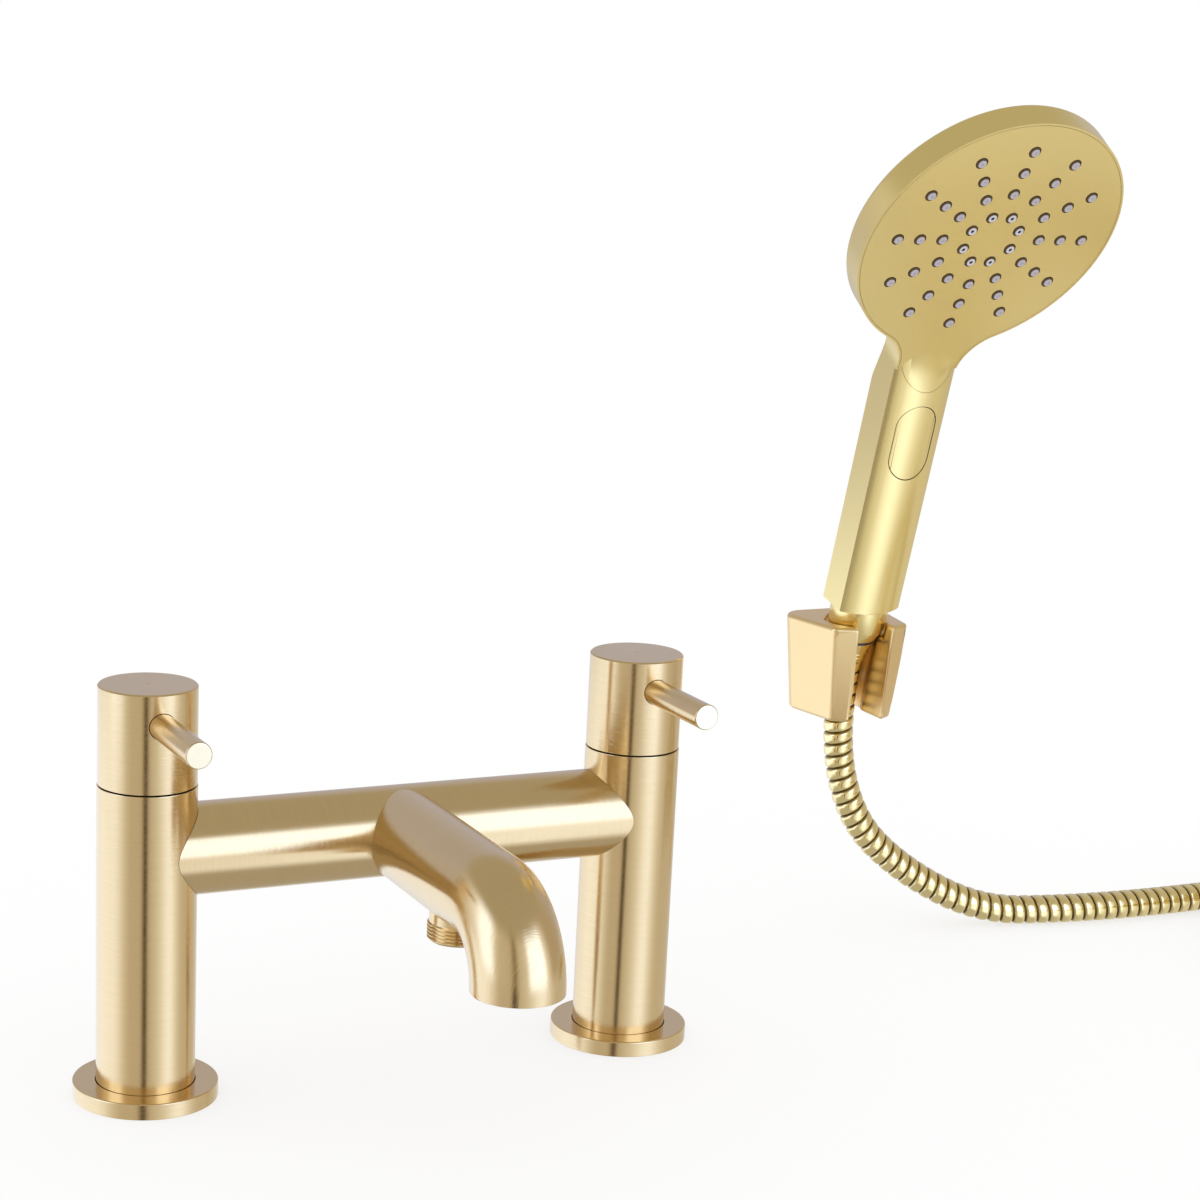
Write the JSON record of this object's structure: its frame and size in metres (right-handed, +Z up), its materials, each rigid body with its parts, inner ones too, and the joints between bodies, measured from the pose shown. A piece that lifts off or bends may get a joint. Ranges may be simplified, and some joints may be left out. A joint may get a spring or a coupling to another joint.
{
  "type": "bath shower mixer",
  "caption": "Deck-mounted bath shower mixer: lever-topped pillars, bridge, bent spout, rear diverter, wall bracket, push-button handset and ribbed metal hose with a coil.",
  "frame": {"origin": "on the deck plane, midway between the two fixing tails", "axes": "+X along the bridge to the right pillar, -Y where the spout and levers point, +Z up"},
  "size_m": [0.6527, 0.2128, 0.3911],
  "materials": {
    "brushed_brass": "brushed satin gold plating on brass",
    "raw_brass": "plain turned brass",
    "bracket_gold": "satin rose gold coating on a die casting",
    "handset_gold": "satin gold metallised plastic",
    "hose_metal": "polished gold plated wound strip",
    "nozzle_rubber": "soft grey silicone",
    "rubber": "matt black rubber",
    "black_plastic": "matt black plastic",
    "white_plastic": "matt white plastic",
    "fibre": "matt red fibre",
    "ceramic": "lapped white ceramic"
  },
  "bodies": {
    "mixer": {"aerator_housing": "brushed_brass", "aerator_insert": "white_plastic", "back_nut_left": "raw_brass", "back_nut_right": "raw_brass", "bridge_tube": "brushed_brass", "check_valve": "white_plastic", "deck_washer_left": "fibre", "deck_washer_right": "fibre", "diverter_cartridge": "raw_brass", "fixed_disc_left": "ceramic", "fixed_disc_right": "ceramic", "flange_gasket_left": "rubber", "flange_gasket_right": "rubber", "flange_left": "brushed_brass", "flange_right": "brushed_brass", "hose_coil": "hose_metal", "hose_end_ferrule": "brushed_brass", "hose_end_seal": "rubber", "hose_run": "hose_metal", "pillar_left": "brushed_brass", "pillar_right": "brushed_brass", "shower_outlet": "brushed_brass", "spout_tube": "brushed_brass", "tail_left": "raw_brass", "tail_right": "raw_brass", "valve_body_left": "raw_brass", "valve_body_right": "raw_brass", "wall_bracket": "bracket_gold"},
    "left_control": {"knob_left": "brushed_brass", "lever_left": "brushed_brass", "spindle_left": "raw_brass", "turning_disc_left": "ceramic"},
    "right_control": {"knob_right": "brushed_brass", "lever_right": "brushed_brass", "spindle_right": "raw_brass", "turning_disc_right": "ceramic"},
    "diverter_control": {"diverter_knob": "brushed_brass", "diverter_spindle": "raw_brass"},
    "hose_head": {"hose_ferrule": "brushed_brass", "swivel_ring": "black_plastic"},
    "handset": {"handset_shell": "handset_gold", "face_plate": "handset_gold", "nozzle_pad": "nozzle_rubber", "handset_nipple": "white_plastic", "cone_nut": "brushed_brass", "nut_seal": "rubber", "spray_valve": "white_plastic"},
    "button": {"spray_button": "handset_gold"},
    "end_nut": {"hose_end_nut": "brushed_brass"}
  },
  "joints": [
    {"name": "left_turn", "type": "hinge", "parent": "mixer", "child": "left_control", "pos_m": [-0.09, 0, 0.1264], "axis": [0, 0, 1], "range_deg": [-90, 0]},
    {"name": "right_turn", "type": "hinge", "parent": "mixer", "child": "right_control", "pos_m": [0.09, 0, 0.1264], "axis": [0, 0, 1], "range_deg": [0, 90]},
    {"name": "diverter_turn", "type": "hinge", "parent": "mixer", "child": "diverter_control", "pos_m": [0, 0.029, 0.0792], "axis": [0, 1, 0], "range_deg": [0, 90]},
    {"name": "handset_lift", "type": "slide", "parent": "mixer", "child": "hose_head", "axis": [0, -0.2588, 0.9659], "range_m": [0, 0.045]},
    {"name": "handset_turn", "type": "hinge", "parent": "hose_head", "child": "handset", "pos_m": [0.225, 0.07074, 0.13397], "axis": [0, -0.2588, 0.9659], "continuous": true},
    {"name": "button_press", "type": "slide", "parent": "handset", "child": "button", "axis": [0, 0.9659, 0.2588], "range_m": [0, 0.0015], "stiffness_N_per_m": 500, "springref_m": -0.0015},
    {"name": "end_nut_spin", "type": "hinge", "parent": "mixer", "child": "end_nut", "pos_m": [0.36545, -0.09735, 0.012], "axis": [-1, 0, 0], "continuous": true}
  ]
}
